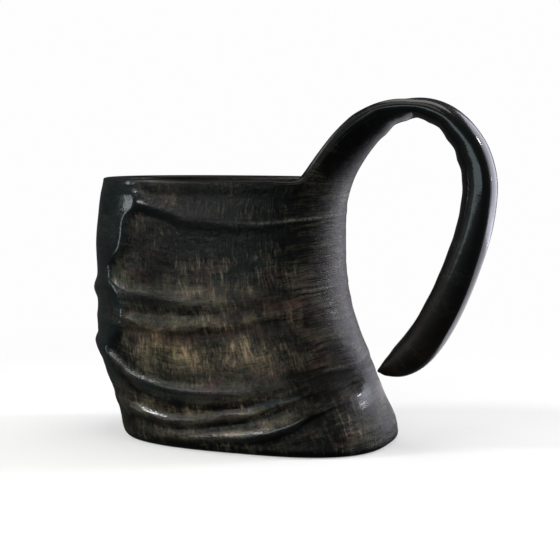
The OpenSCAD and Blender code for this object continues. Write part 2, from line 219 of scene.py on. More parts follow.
def relief(th, z):
    """How far the surface stands out, and what the colours need to know about each place."""
    t = (th + 180) % 360 - 180
    h = np.zeros_like(z)
    info = {}
    wob = 0.55 * waves(t, z, 11) + 0.3 * waves(t, z, 12, 2.0)
    for name, rows in R.items():
        q = around(rows, t)
        zc, amp, up, dn = [q[..., i] for i in range(4)]
        zc = zc + 0.5 * wob
        dz = z - zc
        up, dn = np.maximum(up, 0.8), np.maximum(dn, 0.8)
        p = np.where(dz >= 0, 1 - smooth(0, 1, np.clip(dz / up, 0, 1)), 1 - smooth(0, 1, np.clip(-dz / dn, 0, 1)))
        a = np.maximum(amp, 0) * (1 + 0.12 * waves(t, z, hash_of(name)))
        info[name] = dz
        h = np.maximum(h, a * p) + 0.25 * np.minimum(h, a * p)
    ke = keel_edge(t, z)
    k = 1 - smooth(-3.0, 4.5, ke)
    lip = np.exp(-((ke + 2.2) / 2.6) ** 2)
    keel_h = 0.95 - 0.7 * smooth(146, 164, np.abs(t)) + 0.25 * waves(t, z, 21)
    keel_h = keel_h * (0.25 + 0.75 * smooth(8, 28, z))
    hk = np.maximum(h, 0.45 * h + keel_h)
    h = h * (1 - k) + hk * k + 0.25 * lip * smooth(8, 16, z) * (1 - smooth(110, 117, z))
    # the hollows are scraped out a little below the even surface
    field = 1 - k
    fade_right = smooth(-8, -45, t) * (t < 0) + smooth(8, 45, t) * (t >= 0)
    hollow = np.clip(1 - h / 0.8, 0, 1) * field * fade_right
    h = h - 0.45 * hollow
    # small folds
    for th0, z0, sth, sz, amt, slope in [
        (-127, 57.0, 6, 1.2, 0.55, -0.28), (-124, 62.5, 5, 1.4, 0.3, -0.1), (-89, 18.6, 4, 1.6, 0.45, 0.1),
        (-118, 20.5, 9, 1.8, 0.35, -0.05), (-96, 21.0, 8, 1.5, 0.3, 0.1), (-60, 22.6, 6, 1.2, 0.25, 0.25),
        (112, 61, 8, 1.4, 0.5, -0.1), (78, 48, 9, 1.6, 0.4, 0.0), (95, 86, 10, 1.5, 0.3, 0.05),
        (-20, 25.5, 8, 3.6, 0.8, 0.1), (0, 24, 5, 7.0, 0.45, 0.0), (-14, 12, 12, 4, 0.4, 0.1), (-40, 9, 8, 3, 0.3, 0.2),
    ]:
        dt = t - th0
        h = h + amt * np.exp(-(dt / sth) ** 2 - ((z - z0 - slope * dt) / sz) ** 2)
    # a finer lip along the crest of the lowest ridge
    h = h + 0.30 * np.exp(-((info["r6"] - 0.4) / 1.5) ** 2) * np.exp(-((np.abs(t) - 84) / 17) ** 2)
    # thin growth lines near the handle
    for z0, amt in ((105.0, 0.20), (112.8, 0.14), (73.8, 0.12), (59.0, 0.10)):
        h = h + amt * np.exp(-((z - z0 - 0.02 * (t + 20)) / 0.45) ** 2) * np.exp(-((t + 18) / 26) ** 2)
    # the hand that scraped it left the hollows uneven: long along the layers, short across
    h = h + (0.10 * waves(t, z * 2.2, 31, 2.2) + 0.07 * waves(t, z * 4.0, 33, 4.0)) * (0.45 + 0.55 * field)
    ends = smooth(FOOT * 0.4, FOOT + 3, z) * (1 - smooth(112.5, 118, z))
    info["keel"] = k * (0.15 + 0.85 * smooth(16, 32, z))
    info["hollow"] = hollow
    info["t"] = t
    return h * ends, info


def hash_of(name):
    return 100 + int(name[1:])


# ------------------------------------------------------------------ the horn mesh
C = 300                      # columns round the body
K = 70                       # the strip takes columns 0 to K
ANG = -42 + 360.0 / C * np.arange(C)
psi = np.radians(np.linspace(0, 90, 8))[:-1]
ROWS = np.concatenate([FOOT * (1 - np.cos(psi)), np.linspace(FOOT, TOP, 178)])
ROWS_IN = np.concatenate([np.linspace(TOP, 24, 14), [17, 11, SEAT_Z]])
NR, NI = len(ROWS), len(ROWS_IN)


def foot(z):
    z = np.minimum(z, FOOT)
    return FOOT - np.sqrt(FOOT ** 2 - (FOOT - z) ** 2)


TH, ZZ = np.meshgrid(ANG, ROWS)
H, INFO = relief(TH, ZZ)
body_out = oval(outline(ZZ), TH, ZZ, H - foot(ZZ))
THI, ZI = np.meshgrid(ANG, ROWS_IN)
body_in = oval(lining(ZI), THI, ZI, -0.25 + 0.25 * waves(THI, ZI, 41))
body_in[-2:] = oval(lining(ZI[-2:]), THI[-2:], ZI[-2:])

NS = 150
par = np.linspace(0, len(STRIP) - 1, NS + 1)[1:]
TAB = np.column_stack([np.arange(len(STRIP)), STRIP])
q = along(TAB, par)
qa, qb = along(TAB, np.maximum(par - 0.25, 0)), along(TAB, np.minimum(par + 0.25, len(STRIP) - 1))
T = (qb - qa)[:, :2]
T /= np.linalg.norm(T, axis=1)[:, None]
N = np.column_stack([T[:, 1], -T[:, 0]])
# the strip leaves the rim level, and its sections turn square to it higher up
turn = smooth(0, 4, par)[:, None]
N = np.array([[1.0, 0.0]]) * (1 - turn) + N * turn
N /= np.linalg.norm(N, axis=1)[:, None]
cx, cz, thick, wide, curl = q.T
path = np.concatenate([[0], np.cumsum(np.hypot(np.diff(cx), np.diff(cz)))])
full_w = GRIP * wide
# how far the rounded cut edge stands out past the broad faces
blend_in = smooth(0, 6, par)
bulge = np.maximum(1.6 * (1 - blend_in) + 0.24 * thick * blend_in, 0.9)


def strip_face(side):
    top = body_out[-1] if side > 0 else body_in[0]
    o = top[:K + 1]
    v = o[:, 1] / o[K, 1]
    sag = o[K // 2, 0] - o[:, 0]
    share = body_in[0, K, 1] / body_out[-1, K, 1]
    w = full_w - bulge
    if side < 0:
        w = w * (1 - (1 - share) * curl)
    t = thick / 2
    # the face towards the loop is rounded, the outer one nearly flat
    fit = (1 - curl) * np.minimum(1, t / 4)
    crown = (ROUND_IN - 1.5 * smooth(12, 17, par) if side > 0 else ROUND_OUT) * fit
    off = side * (t[:, None] + CROWN * fit[:, None] - crown[:, None] * v[None, :] ** 2) - sag[None, :] * curl[:, None]
    if side > 0:
        # cut by hand in short flats round the inside of the bend
        flats = np.abs((path / 12.5 + 0.2 * np.sin(path / 17.0)) % 1.0 - 0.5) * 2
        off = off + ((0.5 - flats) * 0.9 * smooth(3.5, 6, par) * (1 - 0.85 * smooth(11.5, 13.5, par)))[:, None]
    off = off + side * 0.10 * np.sin(path[:, None] / 9.0 + 2 * v[None, :]) * smooth(2, 6, par)[:, None]
    x = cx[:, None] + N[:, :1] * off
    z = cz[:, None] + N[:, 1:] * off
    y = w[:, None] * v[None, :]
    return np.stack([x, y, z], -1)


strip_out, strip_in = strip_face(1), strip_face(-1)

n_bi = NR * C
n_so = n_bi + NI * C
n_si = n_so + NS * (K + 1)
n_r = n_si + NS * (K + 1)
n_c = n_r + 2 * C
j = np.arange(C)


def bo(i, j): return i * C + j % C
def bi(i, j): return n_bi + i * C + j % C
def so(s, j): return bo(NR - 1, j) if s == 0 else n_so + (s - 1) * (K + 1) + j
def si(s, j): return bi(0, j) if s == 0 else n_si + (s - 1) * (K + 1) + j


seat_o = outline(np.full(C, 4.0))
seat_o = np.column_stack([seat_o[:, 0] + REBATE, seat_o[:, 1] - REBATE, seat_o[:, 2] - REBATE, seat_o[:, 3], seat_o[:, 4]])
seat0 = oval(seat_o, ANG, np.zeros(C))
seat1 = seat0 + [0, 0, SEAT_Z]
shell = np.vstack([body_out.reshape(-1, 3), body_in.reshape(-1, 3), strip_out.reshape(-1, 3), strip_in.reshape(-1, 3), seat0, seat1])

loop, lb, lk, lt = [], [], [], []      # the two corners, the bulge, the blend, the next point inward
for jj in range(K, C + 1):
    loop.append((bo(NR - 1, jj), bi(0, jj))); lb.append(1.6); lk.append(0.0); lt.append(bo(NR - 2, jj))
for s in range(1, NS + 1):
    loop.append((so(s, 0), si(s, 0))); lb.append(bulge[s - 1]); lk.append(blend_in[s - 1]); lt.append(so(s, 1))
for jj in range(1, K + 1):
    loop.append((so(NS, jj), si(NS, jj))); lb.append(bulge[-1]); lk.append(1.0); lt.append(so(NS - 1, jj))
for s in range(NS - 1, 0, -1):
    loop.append((so(s, K), si(s, K))); lb.append(bulge[s - 1]); lk.append(blend_in[s - 1]); lt.append(so(s, K - 1))
loop = np.array(loop)
lb, lk, lt = np.array(lb), np.array(lk), np.array(lt)
P = len(loop)
A, B = shell[loop[:, 0]], shell[loop[:, 1]]
mid = (A + B) / 2
d = np.roll(mid, -1, 0) - np.roll(mid, 1, 0)
n = np.cross(A - B, d)
n /= np.linalg.norm(n, axis=1)[:, None]
for _ in range(3):
    n = np.roll(n, 1, 0) + 2 * n + np.roll(n, -1, 0)
    n /= np.linalg.norm(n, axis=1)[:, None]
M = 13
phi = np.pi * np.arange(1, M + 1) / (M + 1)
# the rim is evenly rounded; the strip's edge runs on smoothly from the loop side and
# keeps a crisp corner towards the outside
tA = A - shell[lt]
tA /= np.linalg.norm(tA, axis=1)[:, None]
across = (A - B) / np.linalg.norm(A - B, axis=1)[:, None]
reach = (lb / 0.62)[:, None]
P1 = A + tA * reach
P2 = B + (n * 0.85 + across * 0.53) * reach
cap = np.zeros((P, M, 3))
for m_, f in enumerate(phi):
    c = np.sign(np.cos(f)) * np.abs(np.cos(f)) ** 0.55
    even = mid + (A - B) / 2 * c + n * (lb * np.sin(f) ** 0.55)[:, None]
    w_ = f / np.pi
    run = A * (1 - w_) ** 3 + P1 * 3 * w_ * (1 - w_) ** 2 + P2 * 3 * w_ ** 2 * (1 - w_) + B * w_ ** 3
    cap[:, m_] = even * (1 - lk)[:, None] + run * lk[:, None]
points = np.vstack([shell, cap.reshape(-1, 3)])


def cp(p, m):
    p = p % P
    return np.where(m < 0, loop[p, 0], np.where(m >= M, loop[p, 1], n_c + p * M + np.clip(m, 0, M - 1)))


faces, part = [], []          # part: 0 outside, 1 inside, 2 edges, 3 seat


def add(q, kind):
    q = np.asarray(q).reshape(-1, 4)
    faces.append(q)
    part.append(np.full(len(q), kind))


for i in range(NR - 1):
    add(np.column_stack([bo(i, j), bo(i, j + 1), bo(i + 1, j + 1), bo(i + 1, j)]), 0)
ks = np.arange(K)
for s in range(NS):
    add(np.column_stack([so(s, ks), so(s, ks + 1), so(s + 1, ks + 1), so(s + 1, ks)]), 0)
for i in range(NI - 1):
    add(np.column_stack([bi(i, j + 1), bi(i + 1, j + 1), bi(i + 1, j), bi(i, j)]), 1)
for s in range(NS):
    add(np.column_stack([si(s, ks + 1), si(s, ks), si(s + 1, ks), si(s + 1, ks + 1)]), 1)
pp = np.arange(P)
for m_ in range(-1, M):
    add(np.column_stack([cp(pp, m_), cp(pp + 1, m_), cp(pp + 1, m_ + 1), cp(pp, m_ + 1)]), 2)
s0, s1 = n_r + j, n_r + C + j
s0n, s1n = n_r + (j + 1) % C, n_r + C + (j + 1) % C
add(np.column_stack([bo(0, j), s0, s0n, bo(0, j + 1)]), 3)
add(np.column_stack([s0n, s0, s1, s1n]), 3)
add(np.column_stack([s1, bi(NI - 1, j), bi(NI - 1, j + 1), s1n]), 3)
faces = np.vstack(faces)
part = np.concatenate(part)

# The strip grows out of the wall without a crease, and its corners with the rim are
# filled: a few rounds of averaging there, which the cut edges between share
pairs = np.vstack([faces[:, [0, 1]], faces[:, [1, 2]], faces[:, [2, 3]], faces[:, [3, 0]]])
pairs = np.vstack([pairs, pairs[:, ::-1]])
number = np.bincount(pairs[:, 0], minlength=len(points))
soft = np.zeros(len(points))
near_root = np.clip(1 - np.abs((np.tile(ANG, NR) + 180) % 360 - 180) / 62, 0, 1)
soft[:NR * C] = smooth(109, 118, ZZ.ravel()) * smooth(0, 0.22, near_root)
near_root_in = np.clip(1 - np.abs((np.tile(ANG, NI) + 180) % 360 - 180) / 62, 0, 1)
soft[n_bi:n_so] = smooth(104, 118, ZI.ravel()) * smooth(0, 0.22, near_root_in)
for base_i in (n_so, n_si):
    soft[base_i:base_i + NS * (K + 1)] = np.repeat(1 - smooth(8, 26, path), K + 1)
for m_ in range(M):
    f = (m_ + 1) / (M + 1)
    soft[n_c + np.arange(P) * M + m_] = soft[loop[:, 0]] * (1 - f) + soft[loop[:, 1]] * f
for _ in range(50):
    mean = np.stack([np.bincount(pairs[:, 0], points[pairs[:, 1], c_], len(points)) for c_ in range(3)], -1) / number[:, None]
    points = points + (mean - points) * (0.5 * soft)[:, None]

# ------------------------------------------------------------------ what the finish reads
mid_row = oval(outline(np.full(C, 60.0)), ANG, np.full(C, 60.0))
step = np.linalg.norm(np.roll(mid_row, -1, 0) - mid_row, axis=1)
girth = step.sum()
arc = np.concatenate([[0], np.cumsum(step)[:-1]])
arc = arc - arc[K // 2]


def bell(x, w):
    return np.exp(-(x / w) ** 2)


t, z = INFO["t"], ZZ
keel, hollow = INFO["keel"], INFO["hollow"]
dz = {k: INFO[k] for k in R}
front = np.where(t < 0, 1.0, 1.0)
at = np.abs(t)
# the tan, rust and olive bands lie along the ridges and are strongest mid side
side = bell(at - 88, 42)
tan = (0.55 * bell(dz["r2"] - 4.5, 3.0) * bell(at - 76, 24)
       + 0.85 * bell(dz["r3"] - 0.6, 2.2) * bell(at - 88, 34)
       + 0.82 * bell(z - 45, 6.5) * bell(at - 104, 13)
       + 0.58 * bell(z - 50, 5.5) * bell(at - 72, 17)
       + 0.34 * bell(z - 42, 6) * bell(at - 88, 40)
       + 0.50 * bell(dz["r5"] - 5.5, 3.5) * bell(at - 98, 26)
       + 0.80 * bell(dz["r6"] - 2.4, 1.8) * bell(at - 86, 24)
       + 0.45 * bell(dz["r5"] - 0.5, 2.0) * bell(at - 62, 24)
       + 0.10 * bell(z - 14, 10) * bell(at - 36, 24)
       + 0.30 * bell(dz["r4"] - 1.0, 2.5) * bell(at - 48, 22))
rust = (0.9 * bell(dz["r3"] + 3.6, 1.3) * bell(at - 92, 34)
        + 0.6 * bell(dz["r3"] - 5.0, 2.0) * bell(at - 52, 24)
        + 0.4 * bell(z - 60, 10) * bell(at - 44, 16) + 0.35 * bell(z - 38, 8) * bell(at - 50, 20))
olive = 0.8 * smooth(176, 168, at) * smooth(150, 160, at) * bell(z - 98, 14) + 0.5 * bell(z - 46, 7) * bell(at - 110, 8) \
    + 0.3 * bell(dz["r3"] - 2.0, 1.5) * bell(at - 96, 20)
# teal_sheen: the keel and the ridge crests are painted dark teal, partly the horn's own tint and partly a painted
# bluish reflection; the same mask makes them glossy
teal_sheen = np.clip(keel + 0.95 * bell(dz["r4"] + 0.6, 3.4) * bell(at - 112, 30) + 0.7 * bell(dz["r2"] + 1.0, 3.0) * bell(at - 118, 18)
               + 0.6 * bell(dz["r1"] + 0.5, 3.5) * bell(at - 112, 14) + 0.45 * bell(dz["r5"], 1.8) * bell(at - 112, 16)
               + 0.5 * bell(dz["r6"] + 0.2, 1.3) * bell(at - 82, 24), 0, 1)
# cross_shade: painted shade where the surface turns down under the shoulder at the lower right
cross_shade = bell(at - 22, 16) * bell(z - 32, 4.5)
# dark_and_shade: painted shade under the ridges (r2, r4, r5, r6), under the lower right shoulder and along the foot,
# with darker tone over the top, the middle field, the lower right and the left tip of the big pocket
dark_and_shade = (0.9 * bell(z - 43, 9) * bell(at - 135, 8) + 0.76 * bell(z - 86, 12) * bell(at - 96, 34) + 0.5 * cross_shade + 0.9 * bell(dz["r4"] + 5.0, 1.8) * bell(at - 92, 40) + 0.8 * bell(dz["r6"] + 2.8, 1.8) * bell(at - 76, 30)
        + 0.6 * bell(dz["r5"] + 3.2, 1.6) * bell(at - 86, 40) + 0.5 * bell(dz["r2"] + 4.5, 1.6) * bell(at - 84, 30)
        + 0.7 * (1 - smooth(1.0, 5.5, z)) + 0.45 * smooth(60, 100, z) * bell(at - 56, 20)
        + 0.75 * smooth(76, 96, z) * bell(at - 84, 50) + 0.42 * bell(at - 50, 18) * (1 - smooth(50, 70, z)))
growth = np.clip(bell(dz["r1"] - 0.3, 0.55) * bell(at - 34, 30) + 0.9 * bell(z - 112.8, 0.5) * bell(t - 5, 13)
                 + 0.5 * bell(dz["r2"] - 0.3, 0.5) * bell(at - 26, 18) + 0.5 * bell(dz["r4"] - 0.3, 0.8) * bell(at - 22, 16), 0, 1)
gloss = np.clip(1.25 * bell(dz["r6"] - 0.2, 1.9) * bell(at - 82, 19) + 0.8 * bell(dz["r5"] - 0.5, 2.2) * bell(at - 118, 12)
                + 0.8 * bell(dz["r5"] - 0.5, 2.0) * bell(at - 88, 4) + 0.9 * bell(at - 16, 13) * bell(z - 25, 5)
                + 0.45 * keel * smooth(45, 70, z) + 0.30 * keel * (1 - smooth(45, 70, z))
                + 0.4 * bell(dz["r5"] - 0.8, 1.6) * bell(at - 68, 16)
                + 0.05 * (1 - smooth(30, 52, at)) * smooth(36, 44, z), 0, 1)
cross = np.clip(smooth(-66, -40, -at) * (1 - smooth(26, 36, z)), 0, 1)
rake = np.clip(hollow * 1.15 + 0.2, 0, 1) * smooth(34, 52, at) * (1 - keel)
lay = np.clip(1 - smooth(40, 62, at), 0, 1) * (1 - smooth(112, 122, z))
# layers: an even coordinate across the ridges, so that lines can follow them
knots = [np.full_like(z, -10.0)] + [z - dz[k] for k in ("r6", "r5", "r4", "r3", "r2", "r1")] + [np.full_like(z, 135.0)]
vals = [-1.0, 0.9, 1.4, 3.2, 5.6, 6.8, 10.2, 13.4]
strat = np.zeros_like(z)
for a_, b_, va, vb in zip(knots[:-1], knots[1:], vals[:-1], vals[1:]):
    u = np.clip((z - a_) / np.maximum(b_ - a_, 0.5), 0, 1)
    strat = np.where(z >= a_, va + (vb - va) * u, strat)

NV = len(points)
att = {k: np.zeros(NV) for k in ("tan", "rust", "olive", "teal_sheen", "dark_and_shade", "cross", "rake", "lay", "strat", "inside", "cut", "sleek", "brown", "gloss", "growth")}
nb = NR * C
for k, v in (("tan", tan), ("rust", rust), ("olive", olive), ("teal_sheen", teal_sheen), ("dark_and_shade", dark_and_shade), ("cross", cross),
             ("rake", rake), ("lay", lay), ("strat", strat), ("gloss", gloss), ("growth", growth)):
    att[k][:nb] = v.ravel()
uv = np.zeros((NV, 2))
uv[:nb, 0] = np.tile(arc, NR)
uv[:nb, 1] = ZZ.ravel()
uv[n_bi:n_so, 0] = np.tile(arc, NI)
uv[n_bi:n_so, 1] = ZI.ravel()
worn = np.zeros(NV)           # towards its free end the cut edge is duller
for base_i, sgn in ((n_so, 1), (n_si, -1)):
    u = arc[:K + 1][None, :] * (full_w / full_w[0])[:, None]
    w = np.repeat((TOP + path + 1)[:, None], K + 1, 1)
    uv[base_i:base_i + NS * (K + 1), 0] = u.ravel()
    uv[base_i:base_i + NS * (K + 1), 1] = w.ravel()
    sl = slice(base_i, base_i + NS * (K + 1))
    att["strat"][sl] = (12.0 + (w - TOP) * 0.09).ravel()
    if sgn > 0:
        near = np.repeat(smooth(26, 6, path)[:, None], K + 1, 1)
        att["lay"][sl] = (near * 0.9).ravel()
        att["dark_and_shade"][sl] = (0.5 + 0.3 * (1 - near)).ravel()
    else:
        att["inside"][sl] = np.repeat(smooth(10, 0, path)[:, None], K + 1, 1).ravel()
        att["dark_and_shade"][sl] = 0.7
    att["sleek"][sl] = np.repeat(smooth(20, 50, path)[:, None], K + 1, 1).ravel()
    att["brown"][sl] = np.repeat(smooth(130, 200, path)[:, None], K + 1, 1).ravel()
    worn[sl] = np.repeat(smooth(112, 152, path)[:, None], K + 1, 1).ravel()
# the inside of the cup, like the strip's inner face by the rim, is painted near black: painted shade in the opening
att["inside"][n_bi:n_so] = 1
att["dark_and_shade"][n_bi:n_so] = 0.8
ia, ib = loop[:, 0], loop[:, 1]
for k in att:
    va, vb = att[k][ia], att[k][ib]
    for m_ in range(M):
        f = (m_ + 1) / (M + 1)
        att[k][n_c + np.arange(P) * M + m_] = va * (1 - f) + vb * f
for m_ in range(M):
    f = (m_ + 1) / (M + 1)
    i_ = n_c + np.arange(P) * M + m_
    att["sleek"][i_] *= 1 - 0.80 * (worn[ia] * (1 - f) + worn[ib] * f) * smooth(1.0, 0.8, f)
att["cut"][n_c:] = 1
for m_ in range(M):
    f = (m_ + 1) / (M + 1)
    uv[n_c + np.arange(P) * M + m_] = uv[ia] * (1 - f) + uv[ib] * f + np.array([0, 3.0 * f])
uv[n_r:n_c, 0] = np.tile(arc, 2)
# the seat underneath gets full painted shade
att["dark_and_shade"][n_r:n_c] = 1


def build(name, pts, fcs, smooth_all=True):
    me = bpy.data.meshes.new(name)
    me.from_pydata([tuple(p) for p in (np.asarray(pts) * MM)], [], [tuple(int(i) for i in f) for f in fcs])
    me.validate()
    me.update()
    me.polygons.foreach_set("use_smooth", np.full(len(me.polygons), smooth_all))
    ob = bpy.data.objects.new(name, me)
    bpy.context.scene.collection.objects.link(ob)
    return ob


horn = build("horn_visual", points, faces)
me = horn.data
for k, v in att.items():
    a = me.attributes.new(k, "FLOAT", "POINT")
    a.data.foreach_set("value", v.astype(np.float32))
# a corner map, so that the seam at the back doesn't smear
lay_uv = me.uv_layers.new(name="flow")
li = np.zeros(len(me.loops), np.int64)
me.loops.foreach_get("vertex_index", li)
u = uv[li].copy()
starts = np.zeros(len(me.polygons), np.int64)
totals = np.zeros(len(me.polygons), np.int64)
me.polygons.foreach_get("loop_start", starts)
me.polygons.foreach_get("loop_total", totals)
pid = np.repeat(np.arange(len(starts)), totals)
seam = girth * 0.42           # behind the cup, towards the keel
wrapped = (u[:, 0] + girth - seam) % girth - (girth - seam)
hi = np.full(len(starts), -1e9)
np.maximum.at(hi, pid, wrapped)
far = (hi[pid] - wrapped) > girth / 2
wrapped = wrapped + far * girth
u[:, 0] = wrapped
lay_uv.data.foreach_set("uv", (u / 100.0).astype(np.float32).ravel())

# ------------------------------------------------------------------ plug and bead
plug_n = 160
pa = np.linspace(-180, 180, plug_n, endpoint=False)
po = np.repeat(seat_o[:1], plug_n, 0)


def ring_pts(inset, zz):
    o = po.copy()
    o[:, 0] += inset
    o[:, 1] -= inset
    o[:, 2] -= inset
    return oval(o, pa, np.full(plug_n, zz))


rings = [ring_pts(0.06 + a, zz) for a, zz in ((14, 0.35), (3, 0.15), (0.9, 0.0), (0.35, 0.1), (0.08, 0.4), (0, 0.9), (0, 6.2), (0, SEAT_Z - 0.02))]
rings.append(ring_pts(14, SEAT_Z - 0.02))
pts = np.vstack(rings + [[[-2, 0, 0.35]], [[-2, 0, SEAT_Z - 0.02]]])
f = []
jn = (np.arange(plug_n) + 1) % plug_n
jj = np.arange(plug_n)
for r_ in range(len(rings) - 1):
    a0, b0 = r_ * plug_n, (r_ + 1) * plug_n
    f += [(a0 + x, a0 + y, b0 + y, b0 + x) for x, y in zip(jj, jn)]
c0, c1 = len(rings) * plug_n, len(rings) * plug_n + 1
f += [(c0, int(y), int(x)) for x, y in zip(jj, jn)]
last = (len(rings) - 1) * plug_n
f += [(c1, int(last + x), int(last + y)) for x, y in zip(jj, jn)]
plug = build("plug_visual", pts, f)

bead_rows = []
for u_ in np.linspace(0, 1, 9):
    a_ = u_ * math.pi / 2
    inset = 4.0 * (1 - math.sin(a_)) + 0.05
    zz = SEAT_Z + 4.0 * (1 - math.cos(a_)) + 0.02
    o = lining(np.full(plug_n, max(zz, SEAT_Z)))
    o[:, 0] += inset
    o[:, 1] -= inset
    o[:, 2] -= inset
    bead_rows.append(oval(o, pa, np.full(plug_n, zz)))
o = lining(np.full(plug_n, SEAT_Z))
o[:, 0] += 0.05
o[:, 1] -= 0.05
o[:, 2] -= 0.05
bead_rows.append(oval(o, pa, np.full(plug_n, SEAT_Z + 0.02)))
bp = np.vstack(bead_rows)
f = []
nbw = len(bead_rows)
for r_ in range(nbw):
    a0, b0 = r_ * plug_n, ((r_ + 1) % nbw) * plug_n
    f += [(a0 + x, a0 + y, b0 + y, b0 + x) for x, y in zip(jj, jn)]
bead = build("bead_visual", bp, f)


# ------------------------------------------------------------------ finishes
class Net:
    """A short way to write a node tree."""

    def __init__(self, name):
        self.mat = bpy.data.materials.new(name)
        self.mat.use_nodes = True
        self.t = self.mat.node_tree
        self.t.nodes.clear()
        self.out = self.t.nodes.new("ShaderNodeOutputMaterial")
        self.b = self.t.nodes.new("ShaderNodeBsdfPrincipled")
        self.t.links.new(self.b.outputs[0], self.out.inputs[0])

    def put(self, sock, v):
        if isinstance(v, bpy.types.NodeSocket):
            self.t.links.new(v, sock)
        elif hasattr(sock.default_value, "__len__") and not hasattr(v, "__len__"):
            sock.default_value = [v] * len(sock.default_value)
        elif hasattr(v, "__len__") and len(v) == 3 and len(sock.default_value) == 4:
            sock.default_value = (*v, 1)
        else:
            sock.default_value = v

    def attr(self, name):
        a = self.t.nodes.new("ShaderNodeAttribute")
        a.attribute_name = name
        return a.outputs["Fac"]

    def math(self, op, a, b=None, clamp=False):
        m = self.t.nodes.new("ShaderNodeMath")
        m.operation = op
        m.use_clamp = clamp
        self.put(m.inputs[0], a)
        if b is not None:
            self.put(m.inputs[1], b)
        return m.outputs[0]

    def mix(self, fac, a, b):
        m = self.t.nodes.new("ShaderNodeMix")
        m.data_type = "RGBA"
        self.put(m.inputs[0], fac)
        self.put(m.inputs[6], a)
        self.put(m.inputs[7], b)
        return m.outputs[2]

    def t_mix(self, fac, a, b):
        return self.math("ADD", self.math("MULTIPLY", a, self.math("SUBTRACT", 1.0, fac, True)), self.math("MULTIPLY", b, fac))

    def ramp(self, v, lo, hi, a=0.0, b=1.0):
        m = self.t.nodes.new("ShaderNodeMapRange")
        m.interpolation_type = "SMOOTHSTEP"
        self.put(m.inputs[0], v)
        m.inputs[1].default_value, m.inputs[2].default_value = lo, hi
        m.inputs[3].default_value, m.inputs[4].default_value = a, b
        return m.outputs[0]

    def flow(self):
        n_ = self.t.nodes.new("ShaderNodeUVMap")
        n_.uv_map = "flow"
        s_ = self.t.nodes.new("ShaderNodeSeparateXYZ")
        self.t.links.new(n_.outputs[0], s_.inputs[0])
        return s_.outputs[0], s_.outputs[1]

    def xyz(self, x, y, z=0.0):
        c = self.t.nodes.new("ShaderNodeCombineXYZ")
        self.put(c.inputs[0], x)
        self.put(c.inputs[1], y)
        self.put(c.inputs[2], z)
        return c.outputs[0]

    def obj(self):
        return self.t.nodes.new("ShaderNodeTexCoord").outputs["Object"]

    def noise(self, vec, scale=1.0, detail=3.0, rough=0.55, lac=2.0, dist=0.0):
        n_ = self.t.nodes.new("ShaderNodeTexNoise")
        self.put(n_.inputs["Vector"], vec)
        n_.inputs["Scale"].default_value = scale
        n_.inputs["Detail"].default_value = detail
        n_.inputs["Roughness"].default_value = rough
        n_.inputs["Lacunarity"].default_value = lac
        n_.inputs["Distortion"].default_value = dist
        return n_.outputs[0]

    def bump(self, height, strength, distance, normal=None):
        n_ = self.t.nodes.new("ShaderNodeBump")
        n_.inputs["Strength"].default_value = strength
        n_.inputs["Distance"].default_value = distance
        self.put(n_.inputs["Height"], height)
        if normal is not None:
            self.put(n_.inputs["Normal"], normal)
        return n_.outputs[0]


